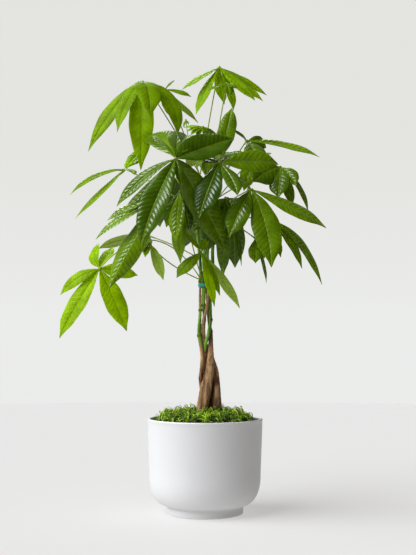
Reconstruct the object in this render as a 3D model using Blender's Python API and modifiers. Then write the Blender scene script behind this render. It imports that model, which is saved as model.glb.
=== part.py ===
"""A potted money tree (Pachira aquatica): five braided stems, palmate leaves, moss, soil and a round pot.

Blender 4.5. The model is built in metres with +Z up, and stands on z = 0 with its origin
at the centre of the pot's underside. The front of the tree faces -Y.
Tables of places hold millimetres, which MM turns into metres.
"""

import math

import bmesh
import bpy
from mathutils import Matrix, Vector

MM = 0.001
GAP = 0.3 * MM  # clearance between pieces that touch

# ---- pot ----
POT_HEIGHT = 134 * MM
POT_RADIUS = 82.5 * MM
POT_WALL = 4.6 * MM
POT_FLOOR = 16 * MM
POT_FOOT_RADIUS = 54.5 * MM
POT_FOOT_HEIGHT = 12 * MM
POT_KNEE_HEIGHT = 58 * MM  # the wall is straight above it and curves in below it
POT_STEPS = 48
POT_LEVELS = [z * MM for z in (22, 28, 36, 46, 58, 96)]  # where the wall bends

# ---- soil and moss ----
SOIL_TOP = 114 * MM
MOSS_RADIUS = 74 * MM
MOSS_CROWN = 148 * MM
STEM_SOCKET_FLOOR = 94 * MM

# ---- tie ----
TIE_HEIGHT = 325 * MM
TIE_BAND = 4 * MM
TIE_THICKNESS = 1 * MM
TIE_CENTRE = (0.3 * MM, 1.5 * MM)
TIE_HALF_WIDTHS = (9.8 * MM, 7.5 * MM)

# ---- leaves ----
PETIOLE_RADIUS = 1.3 * MM
HUB_RADIUS = 2.8 * MM
BLADE_HALF_THICKNESS = 0.7 * MM
BLADE_RINGS = 5
BLADE_ARCH = 0.05  # how far the middle of a blade rises, as a share of its length
BLADE_ROLL = 0  # how far a blade is turned about its midrib
BLADE_DROOP = 0.10  # how far each margin hangs below the midrib, as a share of the half width
BASE_POWER, TIP_POWER = 1.1, 0.8  # the outline t^BASE_POWER (1 - t)^TIP_POWER
WIDEST = BASE_POWER / (BASE_POWER + TIP_POWER)

# Each stem: (x, y, z, radius) up its middle line, from the soil to its top, in millimetres.
STEMS = {
    "stem_centre": [
        (0, -9, 94, 5), (0, -9, 146, 5), (1.6, -9, 164, 6), (3.3, -8, 178, 6.8), (5, -6.8, 191, 6.8),
        (6.6, -5, 201, 6.4), (7.6, -3.5, 211, 5.6), (8, -2, 224, 4.6), (8.1, -1, 236, 3.8),
        (8.2, 1, 253, 3), (6.6, 3.6, 268, 2.6), (4.5, 5.5, 289, 2.4), (3, 5.5, 318, 2.3),
        (3, 5.6, 334, 2.3), (3, 12, 354, 2.5), (4, 17, 391, 2.7), (7, 18, 431, 2.6), (8, 17, 468, 2.1),
    ],
    "stem_left": [
        (-6.5, 0, 94, 5.3), (-6.5, 0, 146, 5.3), (-4.5, 1, 164, 4.8), (-2.5, 2.5, 178, 4.4),
        (1, 4.5, 191, 3.5), (1.2, 6, 201, 3.1), (0.8, 4.5, 211, 2.8), (0.2, 2, 224, 2.7),
        (0.3, -1.2, 236, 2.6), (1.8, -4.2, 244, 2.5), (4.5, -5.2, 253, 2.4), (6.5, -4.5, 264, 2.4),
        (7.8, -3, 273, 2.6), (7.6, -1.2, 288, 2.4), (7.4, 0.2, 306, 2.3), (7.1, 1.3, 321, 2.2),
        (7.2, 1.4, 334, 2.2), (11, 3, 352, 2.4), (11, 4, 376, 2.5), (13, 4, 416, 2.5), (15, 3, 455, 2.1),
    ],
    "stem_right": [
        (17, -5, 94, 7), (17, -5, 146, 7), (16.5, -4, 164, 6.6), (16.2, -1.5, 178, 6),
        (15.3, 2.3, 191, 5.5), (14, 5.5, 201, 5.2), (11.5, 7, 211, 4.7), (8, 8, 222, 4.1),
        (4, 7.8, 232, 3.5), (0.5, 5.4, 240, 3.1), (-1.4, 2.7, 248, 2.7), (-2, 0.5, 260, 2.4),
        (-2.2, -1.2, 275, 2.2), (2.2, -2.9, 290, 2.1), (3.6, -3.1, 304, 2), (4.6, -3, 321, 2),
        (-0.5, 2.5, 346, 2.3), (0, 3, 376, 2.5), (2, 3, 416, 2.5), (5, 0, 474, 2.1),
    ],
    "stem_back_left": [
        (-1, 10.5, 94, 4.8), (-1, 10.5, 146, 4.8), (-2, 11, 164, 4.5), (-4.2, 11.6, 178, 4),
        (-5.9, 8.4, 191, 3.4), (-5.2, 2.8, 201, 2.8), (-4.3, -1, 211, 2.6), (-4.1, -2.4, 224, 2.6),
        (-5.4, -2, 236, 2.7), (-8, -1.2, 250, 2.7), (-8.4, -0.5, 262, 2.6), (-7.5, 0, 276, 2.3),
        (-6.9, 0.3, 290, 2.1), (-7.2, 0.2, 305, 1.9), (-7, 0.6, 322, 1.8), (-7.2, 2.4, 332, 1.9),
        (-6.4, 7, 348, 2.2),
        (-9, 12, 381, 2.4), (-12, 13, 416, 2.5), (-14, 11, 451, 2.3), (-14, 10, 468, 2),
    ],
    "stem_back_right": [
        (9.8, 10.5, 94, 5), (9.8, 10.5, 146, 5), (8.6, 11, 164, 4.7), (6.6, 12, 178, 4.3),
        (6, 13, 191, 4), (6, 14, 201, 3.8), (4.5, 14.5, 211, 3.6), (1.5, 14.4, 222, 3.3),
        (-2.2, 13, 232, 3.1), (-4.6, 10.4, 240, 2.9), (-4.7, 8, 248, 2.8), (-3.6, 6.6, 260, 2.7),
        (-1, 5, 275, 2.6), (-1.5, 3.2, 290, 2.6), (-2.4, 0.6, 305, 2.7), (-1.7, 0.2, 322, 2.9),
        (-5.5, -2, 345, 2.9),
    ],
}

# Each leaf: the stem and height it grows from, where its petiole bends (or None), its hub, which way
# its upper side faces, and its leaflets: (dx, dy, dz, width) from the hub to the tip in millimetres,
# then, where they aren't BLADE_ARCH and BLADE_ROLL, its own arch and its roll in degrees.
LEAVES = {
    "leaf_top_left": ("stem_centre", 466, None, (-93, 30, 631), (0, -0.35, 1), [
        (-79, -15, -109, 28, 0.10, -20), (-34, -40, -85, 26, 0.07, 5), (-1, -20, -138, 38, 0.10, 10),
        (15, -55, -68, 38, 0.12, -5), (52, -20, -87, 29, 0.10, 10), (83, 25, -58, 22, 0.04, -30),
        (-5, 60, -80, 30, 0.08)]),
    "leaf_top_left_back": ("stem_centre", 454, None, (-62, 75, 630), (0, -0.1, 1), [
        (15, 10, 17, 7, 0.02, 10), (41, 0, -12, 14, 0.05, 35), (-28, 45, -25, 22), (10, 55, -35, 24),
        (-35, 15, -20, 20)]),
    "leaf_top": ("stem_back_left", 466, None, (21, 5, 646), (0, -0.2, 1), [
        (-55, -18, -39, 20, 0.01, -10), (-34, -28, -77, 22, 0.07, 5), (7, -22, -61, 22, 0.05, -30),
        (20, -12, -68, 20, 0.07, -10), (71, 22, -37, 24, 0.01, 30), (64, 0, -51, 24, 0.01, 25),
        (51, -25, -56, 26, 0.01, 15)]),
    "leaf_top_young": ("stem_right", 470, None, (31, -45, 609), (0, -0.4, 1), [
        (-27, -5, -12, 12, 0.03, -5), (3, -15, -22, 14), (13, -12, -11, 14)]),
    "leaf_young": ("stem_right", 472, None, (-3, -22, 552), (0, -0.5, 1), [
        (-27, -10, -4, 13), (-23, -16, -11, 10), (-17, -18, -16, 9), (-9, -14, -18, 8), (7, 8, -2, 8)]),
    "leaf_bud": ("stem_back_left", 462, None, (-28, 0, 567), (0, 0, 1), [
        (-3, -4, -13, 5), (4, -6, -9, 4)]),
    "leaf_front": ("stem_right", 436, (-25, -60, 466), (-40, -90, 494), (0, -1, 1), [
        (-43, 80, 46, 46, 0.05, -5), (14, 90, 49, 44, 0.05, 10), (82, 60, 38, 46, 0.08, 15),
        (-81, 5, -66, 24, 0.10, 5), (-73, 28, -67, 24, 0.10, 5), (-45, -35, -124, 38, 0.07),
        (70, 50, -128, 36, -0.06, 15), (8, -8, -38, 12)]),
    "leaf_front_low": ("stem_back_right", 340, (-17, -32, 371), (-35, -60, 453), (0, -0.6, 1), [
        (-5, -25, -73, 26, 0.05, 30), (1, 0, -101, 26, 0.05, 35), (14, 10, -56, 20), (-19, 0, -51, 20),
        (10, 45, -40, 22)]),
    "leaf_front_right": ("stem_left", 448, None, (20, -55, 494), (0, -0.8, 1), [
        (84, 15, 0, 32, 0.03, 40), (-28, -38, -83, 40, 0.05, 10), (24, -40, -52, 24, 0.05, -5),
        (-23, 20, 8, 16, 0.02), (30, 50, 10, 26)]),
    "leaf_right": ("stem_left", 432, None, (65, -60, 456), (0, -0.6, 1), [
        (-32, -25, -70, 32, 0.05, -10), (25, -30, -112, 40, 0.07, 5), (104, 0, -55, 30, 0.02, 10),
        (-30, 25, 26, 20, 0.02, 20), (-6, 50, -12, 22, 0.05, -90)]),
    "leaf_left": ("stem_back_left", 436, None, (-117, 5, 495), (0, -0.2, 1), [
        (-79, -5, -39, 18, 0.10, -20), (-70, -15, -75, 20, 0.02, -10), (30, 55, 41, 24),
        (18, 45, 21, 22, 0.05, 5), (18, -50, -17, 16, 0.05, -10)]),
    "leaf_low_left": ("stem_back_right", 337, (-72, -26, 434), (-148, -45, 346), (0, -0.7, 1), [
        (-6, 45, 40, 22, 0.05, -45), (14, 45, 34, 20, 0.05, -15), (53, 15, -9, 28, 0.02, 15),
        (-55, 5, -37, 22, 0.10, -15), (-53, -15, -98, 30, 0.03), (40, -15, -88, 32, 0.02)]),
    "leaf_mid_left": ("stem_back_left", 401, None, (-62, -55, 441), (0, -0.3, 1), [
        (-75, 5, -28, 24, 0.05, -25), (-90, -5, -56, 25, 0.07, -10), (-64, 25, -19, 18, 0.05, -15),
        (-71, -15, -126, 34, 0.02, -30), (-20, 60, -45, 26)]),
    "leaf_small_low": ("stem_back_right", 333, (-58, -26, 353), (-78, -45, 382), (0, -0.5, 1), [
        (20, -5, -53, 18, 0.05, -120), (-5, -20, -22, 9), (-19, 5, -10, 10)]),
    "leaf_low_centre": ("stem_right", 348, (-5, -30, 370), (-5, -50, 369), (0, -0.5, 1), [
        (-34, -25, -38, 24), (18, -25, -78, 16, 0.03, -20), (26, -2, -62, 16, 0.03, -10),
        (54, 10, -79, 22, 0.03, -70), (-26, 0, 29, 12, 0.02), (6, 0, 18, 14)]),
    "leaf_low_right": ("stem_left", 421, None, (92, -30, 417), (0, -0.4, 1), [
        (45, -5, -71, 22), (75, 10, -93, 22, 0.10, 10), (14, -20, -56, 20, 0.05, -25),
        (-18, 40, -45, 22, 0.05, -70)]),
    "leaf_small_right": ("stem_left", 426, None, (70, -50, 388), (0, -0.5, 1), [
        (0, -12, -36, 20), (15, -8, -64, 12, 0.05, -40), (12, 30, -30, 18)]),
    "leaf_upper_right": ("stem_centre", 458, None, (62, 20, 540), (0, -0.3, 1), [
        (107, 0, -25, 22, 0.05, 20), (-20, 15, 20, 12, 0.02, 5), (18, -40, -47, 32, 0.05, 10),
        (29, 12, -9, 26, 0.05, 55)]),
    "leaf_right_back": ("stem_centre", 444, None, (76, 35, 520), (0, -0.2, 1), [
        (-19, -20, -56, 24, 0.05, -35), (35, 20, -40, 24), (20, 60, 10, 26)]),
    "leaf_upper_front": ("stem_right", 464, None, (24, -6, 513), (0, -0.6, 1), [
        (16, 55, 82, 28), (33, -10, 2, 18), (-27, 8, 44, 26), (-10, 4, -32, 16)]),
    "leaf_far_right": ("stem_left", 452, None, (109, -5, 497), (0, -0.3, 1), [
        (-40, -22, -26, 40, 0.05, -50), (-5, -30, -50, 30, 0.05, 15), (16, -15, -61, 18, 0.05, 5),
        (41, 8, -67, 14, 0.03, 20), (21, -25, -32, 24, 0.05, 30), (10, 50, -20, 24)]),
    "leaf_inner_right": ("stem_left", 396, None, (29, -40, 447), (0, -0.6, 1), [
        (-47, 15, -47, 28, 0.05, -25), (-26, 20, -75, 40, 0.05, -15), (-3, 35, -111, 26, 0.05, 30),
        (14, 30, -98, 22, 0.05, 15), (22, -10, -98, 12, 0.05, -35), (-10, 20, -44, 18)]),
    "leaf_inner": ("stem_centre", 466, None, (4, 30, 530), (0, 0.2, 1), [
        (-2, -20, -48, 16), (10, -15, -50, 20), (-16, -18, -34, 18), (-30, 60, -20, 28),
        (25, 65, -25, 28), (0, 75, -30, 28)]),
    "leaf_back_low_left": ("stem_back_left", 366, None, (-81, 25, 398), (0, 0.2, 1), [
        (-77, 5, -18, 22, 0.05, 25), (-50, 50, -35, 24), (-22, 60, -22, 26)]),
    "leaf_back_left": ("stem_back_left", 426, None, (-45, 95, 496), (0, 0.4, 1), [
        (-35, 30, -50, 30), (-10, 45, -75, 32), (25, 40, -60, 30), (30, -10, -35, 26),
        (-30, -15, -25, 26)]),
    "leaf_back_right": ("stem_centre", 426, None, (35, 100, 466), (0, 0.4, 1), [
        (38, 30, -20, 30), (5, 45, -65, 34), (-30, 30, -50, 30), (25, -5, -35, 26)]),
    "leaf_back_low": ("stem_centre", 394, None, (-15, 90, 426), (0, 0.4, 1), [
        (-25, 40, -40, 28), (15, 50, -40, 30), (-35, 10, -10, 26)]),
    "leaf_back_far_left": ("stem_back_left", 416, None, (-85, 60, 466), (0, 0.3, 1), [
        (-15, 50, -30, 28), (15, 50, -45, 28), (25, 40, -10, 26)]),
    "leaf_back_upper": ("stem_centre", 448, None, (48, 80, 534), (0, 0.3, 1), [
        (26, 35, -8, 26), (-2, 42, -14, 28), (-28, 30, -10, 24)]),
}

# ---- finishes: base colour, roughness, metallic ----
FINISHES = {
    "glazed_white": ((0.80, 0.80, 0.80, 1), 0.45, 0),
    "soil_dark": ((0.05, 0.03, 0.02, 1), 0.95, 0),
    "moss_green": ((0.13, 0.30, 0.02, 1), 0.9, 0),
    "bark_brown": ((0.30, 0.18, 0.10, 1), 0.75, 0),
    "tie_teal": ((0.02, 0.45, 0.38, 1), 0.5, 0),
    "leaf_young_green": ((0.20, 0.38, 0.01, 1), 0.45, 0),
    "leaf_dark_green": ((0.03, 0.12, 0.01, 1), 0.3, 0),
}
YOUNG_LEAVES = (
    "leaf_top_left", "leaf_top_left_back", "leaf_top", "leaf_top_young", "leaf_young", "leaf_bud",
    "leaf_left", "leaf_low_left", "leaf_small_low", "leaf_low_centre",
)


def clearScene():
    for obj in list(bpy.data.objects):
        bpy.data.objects.remove(obj, do_unlink=True)


def newCollection(name, hidden=False):
    collection = bpy.data.collections.new(name)
    collection.hide_render = hidden
    bpy.context.scene.collection.children.link(collection)
    return collection


def finish(name):
    material = bpy.data.materials.get(name)
    if material is None:
        colour, roughness, metallic = FINISHES[name]
        material = bpy.data.materials.new(name)
        material.use_nodes = True
        shader = material.node_tree.nodes["Principled BSDF"]
        shader.inputs["Base Color"].default_value = colour
        shader.inputs["Roughness"].default_value = roughness
        shader.inputs["Metallic"].default_value = metallic
        material.diffuse_color = colour
    return material


def addObject(name, data, collection, finishName=None):
    obj = bpy.data.objects.new(name, data)
    collection.objects.link(obj)
    if finishName:
        data.materials.append(finish(finishName))
    return obj


def meshFrom(build):
    """A new mesh, filled by the function build, which is given a bmesh."""
    bm = bmesh.new()
    build(bm)
    mesh = bpy.data.meshes.new("shape")
    bm.to_mesh(mesh)
    bm.free()
    return mesh


def turned(name, profile, steps, collection, finishName):
    """A body turned about the Z axis from (radius, z) points that run up the inside and down the outside."""
    mesh = bpy.data.meshes.new(name)
    edges = [(i, i + 1) for i in range(len(profile) - 1)]
    mesh.from_pydata([(radius, 0, z) for radius, z in profile], edges, [])
    obj = addObject(name, mesh, collection, finishName)
    screw = obj.modifiers.new("turn", "SCREW")
    screw.steps = screw.render_steps = steps
    screw.use_merge_vertices = True
    screw.merge_threshold = 0.00001
    screw.use_smooth_shade = True
    return obj


def smoothPath(points, between=3):
    """Catmull-Rom points through a list of (x, y, z, radius), with this many steps between each two."""
    knots = [Vector(points[0])] + [Vector(p) for p in points] + [Vector(points[-1])]
    path = []
    for p0, p1, p2, p3 in zip(knots, knots[1:], knots[2:], knots[3:]):
        for i in range(between):
            t = i / between
            path.append(0.5 * (2 * p1 + (p2 - p0) * t + (2 * p0 - 5 * p1 + 4 * p2 - p3) * t * t
                               + (3 * p1 - p0 - 3 * p2 + p3) * t ** 3))
    return path + [knots[-1]]


def tubeCurve(name, path, sides):
    """A tube along (x, y, z, radius) points in metres, as curve data with closed ends."""
    curve = bpy.data.curves.new(name, "CURVE")
    curve.dimensions = "3D"
    curve.bevel_depth = 1
    curve.bevel_resolution = sides // 2 - 2
    curve.use_fill_caps = True
    spline = curve.splines.new("POLY")
    spline.points.add(len(path) - 1)
    for point, (x, y, z, radius) in zip(spline.points, path):
        point.co = (x, y, z, 1)
        point.radius = radius
    return curve


# ---- pot ----
def potInnerRadius(z):
    """The radius of the pot's inside at a height, a wall thickness inside its outer side."""
    return potOuterRadius(z) - POT_WALL


def potOuterRadius(z):
    """A nearly straight wall that closes at the bottom in a quarter of an ellipse, down to the foot."""
    low, high = POT_FOOT_HEIGHT, POT_KNEE_HEIGHT
    wall = 79.6 * MM + (POT_RADIUS - 79.6 * MM) * max(0, (z - high) / (POT_HEIGHT - high))
    if z >= high:
        return wall
    return POT_FOOT_RADIUS + (wall - POT_FOOT_RADIUS) * math.sqrt(
        max(0, 1 - ((high - z) / (high - low)) ** 2.6))


def makePot(collection):
    lip = 1.2 * MM  # radius that rounds the rim
    profile = [(0, POT_FLOOR), (48 * MM, POT_FLOOR)]
    profile += [(potInnerRadius(z), z) for z in POT_LEVELS]
    profile += [(potInnerRadius(POT_HEIGHT) + lip, POT_HEIGHT), (POT_RADIUS - lip, POT_HEIGHT)]
    profile += [(POT_RADIUS, POT_HEIGHT - lip)]
    profile += [(potOuterRadius(z), z) for z in reversed(POT_LEVELS)]
    profile += [(potOuterRadius(z), z) for z in (18 * MM, 14.5 * MM, 12.5 * MM)]
    profile += [(POT_FOOT_RADIUS, POT_FOOT_HEIGHT), (POT_FOOT_RADIUS, 0.8 * MM)]
    profile += [(POT_FOOT_RADIUS - 0.8 * MM, 0), (0, 0)]
    return turned("pot", profile, POT_STEPS, collection, "glazed_white")


# ---- soil and moss ----
def stemSockets(collection, finishLess):
    """Upright cutters a little wider than the feet of the stems."""
    top = 171 * MM
    for name, points in STEMS.items():
        x, y, z, radius = (value * MM for value in points[0])
        wide = radius + GAP
        depth = top - (STEM_SOCKET_FLOOR - GAP)

        def build(bm):
            bmesh.ops.create_cone(bm, cap_ends=True, segments=16, radius1=wide, radius2=wide, depth=depth)

        cutter = addObject("socket_" + name, meshFrom(build), collection)
        cutter.location = (x, y, top - depth / 2)
        cutter.hide_render = True
        cutter.display_type = "WIRE"
        finishLess.append(cutter)
    return finishLess


def cutSockets(obj, cutters):
    for cutter in cutters:
        cut = obj.modifiers.new(cutter.name, "BOOLEAN")
        cut.operation = "DIFFERENCE"
        cut.object = cutter


def makeSoil(collection, cutters):
    wall = [(potInnerRadius(z) - GAP, z) for z in [SOIL_TOP] + POT_LEVELS[::-1]]
    floor = POT_FLOOR + GAP
    profile = [(0, SOIL_TOP)] + wall + [(47 * MM, floor), (0, floor)]
    soil = turned("soil", profile, POT_STEPS, collection, "soil_dark")
    cutSockets(soil, cutters)


def makeMoss(collection, cutters):
    """A low dome of moss, cut round the stems."""
    base = SOIL_TOP + GAP
    edge = 12 * MM  # height of the moss at the wall
    rise = MOSS_CROWN - base - edge
    rings = 5
    dome = []
    for i in range(rings + 1):
        share = i / rings
        dome.append((MOSS_RADIUS * share, base + edge + rise * (1 - share ** 3.2)))
    profile = dome + [(MOSS_RADIUS + 0.8 * MM, base + edge * 0.5), (MOSS_RADIUS - 1 * MM, base), (0, base)]
    moss = turned("moss", profile, 32, collection, "moss_green")
    cutSockets(moss, cutters)


# ---- stems and tie ----
def makeStems(collection):
    for name, points in STEMS.items():
        path = [point * MM for point in smoothPath(points, 2)]
        addObject(name, tubeCurve(name, path, 8), collection, "bark_brown")


def makeTie(collection, cutterCollection):
    """A flat band round the five stems, an ellipse in plan."""
    def ellipse(extra, height):
        def build(bm):
            bmesh.ops.create_cone(bm, cap_ends=True, segments=32, radius1=1, radius2=1, depth=height)
            halfX, halfY = (half + extra for half in TIE_HALF_WIDTHS)
            bmesh.ops.transform(bm, matrix=Matrix.Diagonal((halfX, halfY, 1, 1)), verts=bm.verts)
            place = Vector((*TIE_CENTRE, TIE_HEIGHT))
            bmesh.ops.translate(bm, vec=place, verts=bm.verts)
        return meshFrom(build)

    tie = addObject("tie", ellipse(TIE_THICKNESS, TIE_BAND), collection, "tie_teal")
    inside = addObject("tie_opening", ellipse(0, TIE_BAND * 2), cutterCollection)
    inside.hide_render = True
    inside.display_type = "WIRE"
    cut = tie.modifiers.new("opening", "BOOLEAN")
    cut.operation = "DIFFERENCE"
    cut.object = inside


# ---- leaves ----
def stemAt(name, height):
    """The middle of a stem and its radius at a height, in metres."""
    points = STEMS[name]
    for low, high in zip(points, points[1:]):
        if height <= high[2]:
            share = (height - low[2]) / (high[2] - low[2])
            return (Vector(low) + (Vector(high) - Vector(low)) * share) * MM
    return Vector(points[-1]) * MM


def petiolePath(stem, height, bend, hub):
    """From just off the stem's side to the hub, bending once on the way."""
    x, y, z, radius = stemAt(stem, height)
    centre = Vector((x, y, z))
    aim = Vector(bend) * MM if bend else hub
    outward = Vector((aim.x - centre.x, aim.y - centre.y, 0)).normalized()
    foot = centre + outward * (radius + PETIOLE_RADIUS + GAP)
    if bend is None:
        middle = foot.lerp(hub, 0.5)
        middle.z += 0.06 * (hub - foot).length
    else:
        middle = aim
    steps = 5
    path = []
    for i in range(steps + 1):
        t = i / steps
        point = foot * (1 - t) ** 2 + middle * 2 * t * (1 - t) + hub * t * t
        path.append((*point, PETIOLE_RADIUS))
    return path


def blade(bm, hub, up, tip, width, arch=BLADE_ARCH, roll=BLADE_ROLL):
    """A pointed blade from the hub to its tip: a ball of four sides drawn out along an arched midrib."""
    forward = (tip - hub).normalized()
    base = hub + forward * HUB_RADIUS * 0.4
    along = tip - base
    length = along.length
    normal = (up - forward * up.dot(forward)).normalized()
    normal.rotate(Matrix.Rotation(math.radians(roll), 3, forward))
    side = forward.cross(normal)
    crest = base + along * 0.5 + normal * length * arch * 2
    made = bmesh.ops.create_uvsphere(bm, u_segments=4, v_segments=BLADE_RINGS, radius=1)
    peak = WIDEST ** BASE_POWER * (1 - WIDEST) ** TIP_POWER
    for vert in made["verts"]:
        t = (1 - vert.co.z) / 2
        ring = math.hypot(vert.co.x, vert.co.y)
        across, over = (vert.co.x / ring, vert.co.y / ring) if ring > 1e-4 else (0, 0)
        half = 0.5 * width * t ** BASE_POWER * (1 - t) ** TIP_POWER / peak
        thick = BLADE_HALF_THICKNESS * math.sqrt(max(0, 4 * t * (1 - t)))
        middle = base * (1 - t) ** 2 + crest * 2 * t * (1 - t) + tip * t * t
        tangent = ((crest - base) * (1 - t) + (tip - crest) * t).normalized()
        above = side.cross(tangent)
        drop = -abs(across) * half * BLADE_DROOP
        vert.co = middle + side * across * half + above * (over * thick + drop)


def outerShell(mesh):
    """Deletes every shell but the largest, which fills the small pockets closed in between blades."""
    bm = bmesh.new()
    bm.from_mesh(mesh)
    left = set(bm.faces)
    shells = []
    while left:
        front = [left.pop()]
        shell = set(front)
        while front:
            near = {other for face in front for edge in face.edges if len(edge.link_faces) == 2
                    for other in edge.link_faces} & left
            left -= near
            shell |= near
            front = list(near)
        shells.append(shell)
    largest = max(shells, key=len)
    bmesh.ops.delete(bm, geom=[face for face in bm.faces if face not in largest], context="FACES")
    bm.to_mesh(mesh)
    bm.free()


def makeLeaf(name, collection):
    """One compound leaf: petiole, hub and blades joined into one body."""
    stem, height, bend, hub, up, leaflets = LEAVES[name]
    hub = Vector(hub) * MM
    up = Vector(up).normalized()
    petiole = addObject("petiole", tubeCurve("petiole", petiolePath(stem, height, bend, hub), 6), collection)
    bpy.context.view_layer.update()
    graph = bpy.context.evaluated_depsgraph_get()
    tube = bpy.data.meshes.new_from_object(petiole.evaluated_get(graph))
    bpy.data.objects.remove(petiole)

    def build(bm):
        bm.from_mesh(tube)
        bmesh.ops.remove_doubles(bm, verts=bm.verts, dist=0.00001)
        for dx, dy, dz, width, *shape in leaflets:
            blade(bm, hub, up, hub + Vector((dx, dy, dz)) * MM, width * MM, *shape)
        bmesh.ops.recalc_face_normals(bm, faces=bm.faces)

    def ball(bm):
        bmesh.ops.create_icosphere(bm, subdivisions=1, radius=HUB_RADIUS)
        bmesh.ops.translate(bm, vec=hub, verts=bm.verts)

    shapes = addObject("blades", meshFrom(build), collection)
    young = name in YOUNG_LEAVES
    leaf = addObject(name, meshFrom(ball), collection, "leaf_young_green" if young else "leaf_dark_green")
    join = leaf.modifiers.new("join", "BOOLEAN")
    join.operation = "UNION"
    join.object = shapes
    join.use_self = True
    bpy.context.view_layer.update()
    graph = bpy.context.evaluated_depsgraph_get()
    joined = bpy.data.meshes.new_from_object(leaf.evaluated_get(graph))
    leaf.modifiers.clear()
    leaf.data = joined
    outerShell(joined)
    joined.shade_smooth()
    joined.set_sharp_from_angle(angle=math.radians(50))
    bpy.data.objects.remove(shapes)
    bpy.data.meshes.remove(tube)


def main():
    clearScene()
    tree = newCollection("potted_money_tree")
    cutters = newCollection("cutters", hidden=True)
    sockets = stemSockets(cutters, [])
    makePot(tree)
    makeSoil(tree, sockets)
    makeMoss(tree, sockets)
    makeStems(tree)
    makeTie(tree, cutters)
    for name in LEAVES:
        makeLeaf(name, tree)


main()
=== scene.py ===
import math

import bpy
import numpy as np
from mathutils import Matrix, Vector


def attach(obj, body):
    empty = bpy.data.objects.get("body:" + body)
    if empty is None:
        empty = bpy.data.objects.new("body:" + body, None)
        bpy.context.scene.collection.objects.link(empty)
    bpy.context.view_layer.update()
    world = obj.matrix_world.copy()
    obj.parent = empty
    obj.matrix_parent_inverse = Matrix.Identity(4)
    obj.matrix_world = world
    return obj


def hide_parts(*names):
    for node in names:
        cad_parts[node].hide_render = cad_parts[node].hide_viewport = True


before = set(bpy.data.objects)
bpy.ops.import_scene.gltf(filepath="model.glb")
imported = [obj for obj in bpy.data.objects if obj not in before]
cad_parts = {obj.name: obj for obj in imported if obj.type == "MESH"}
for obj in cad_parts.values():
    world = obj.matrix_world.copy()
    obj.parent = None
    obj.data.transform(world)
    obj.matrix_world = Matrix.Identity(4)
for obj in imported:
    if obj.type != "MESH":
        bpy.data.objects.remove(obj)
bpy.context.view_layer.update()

mm = 0.001  # the tables hold millimetres

# A potted money tree: pot, soil, moss, five braided stems, a tie and leaves like open hands.
# The front faces -Y, and the pot stands on z = 0.


# meshes
# What a piece is gathered in before it becomes a mesh.
def newShape():
    return {"points": [], "faces": [], "slots": [], "values": {}, "count": 0}


# Adds a closed skin: rows of points round a middle line, with a point at each end that closes it.
# grid is (rows, columns, 3), and values are arrays of (rows, columns) kept as point attributes.
def addSkin(shape, grid, values, slot=0):
    rows, cols = grid.shape[:2]
    ends = np.stack([grid[0].mean(0), grid[-1].mean(0)])
    points = np.concatenate([grid.reshape(-1, 3), ends])
    row, col = np.meshgrid(np.arange(rows - 1), np.arange(cols), indexing="ij")
    after = (col + 1) % cols
    quads = np.stack([row * cols + col, row * cols + after, (row + 1) * cols + after,
                      (row + 1) * cols + col], -1).reshape(-1, 4)
    ring, last, first = np.arange(cols), (rows - 1) * cols, rows * cols
    nextRing = (ring + 1) % cols
    low = np.stack([nextRing, ring, np.full(cols, first), np.full(cols, -1)], -1)
    high = np.stack([last + ring, last + nextRing, np.full(cols, first + 1), np.full(cols, -1)], -1)
    faces = np.concatenate([quads, low, high])
    a, b, c = points[faces[:, 0]], points[faces[:, 1]], points[faces[:, 2]]
    d = np.where(faces[:, 3:] < 0, c, points[faces[:, 3]])
    middle = points.mean(0)
    inside = (np.cross(b - middle, c - middle) * (a - middle)).sum()
    inside += (np.cross(c - middle, d - middle) * (a - middle)).sum()
    if inside < 0:  # turn the faces to point outwards
        faces = np.where(faces[:, 3:] < 0, faces[:, [1, 0, 2, 3]], faces[:, [3, 2, 1, 0]])
    shape["points"].append(points)
    shape["faces"].append(np.where(faces < 0, -1, faces + shape["count"]))
    shape["slots"].append(np.full(len(faces), slot))
    shape["count"] += len(points)
    for name, value in values.items():
        value = np.broadcast_to(value, (rows, cols))
        full = np.concatenate([value.reshape(-1), [value[0].mean(), value[-1].mean()]])
        shape["values"].setdefault(name, []).append(full)


# Turns a gathered shape into a mesh object, with its values as point attributes.
def makePiece(name, shape, materials):
    points = np.concatenate(shape["points"])
    faces = np.concatenate(shape["faces"])
    corners = faces[faces >= 0]
    sizes = (faces >= 0).sum(1)
    mesh = bpy.data.meshes.new(name)
    mesh.vertices.add(len(points))
    mesh.vertices.foreach_set("co", points.astype(np.float32).ravel())
    mesh.loops.add(len(corners))
    mesh.loops.foreach_set("vertex_index", corners.astype(np.int32))
    mesh.polygons.add(len(faces))
    mesh.polygons.foreach_set("loop_start", (np.cumsum(sizes) - sizes).astype(np.int32))
    mesh.polygons.foreach_set("material_index", np.concatenate(shape["slots"]).astype(np.int32))
    mesh.update(calc_edges=True)
    mesh.shade_smooth()
    for key, parts in shape["values"].items():
        layer = mesh.attributes.new(key, "FLOAT", "POINT")
        layer.data.foreach_set("value", np.concatenate(parts).astype(np.float32))
    for material in materials:
        mesh.materials.append(material)
    piece = bpy.data.objects.new(name, mesh)
    bpy.context.scene.collection.objects.link(piece)
    return piece


# The piece rides with the plant and hides the CAD node it stands for.
def standFor(piece, node):
    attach(piece, "root")
    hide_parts(node)


def unit(vectors):
    return vectors / np.maximum(np.linalg.norm(vectors, axis=-1, keepdims=True), 1e-12)


# Rises from 0 at low to 1 at high, with level ends.
def ease(value, low, high):
    share = np.clip((value - low) / (high - low), 0, 1)
    return share * share * (3 - 2 * share)


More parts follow.
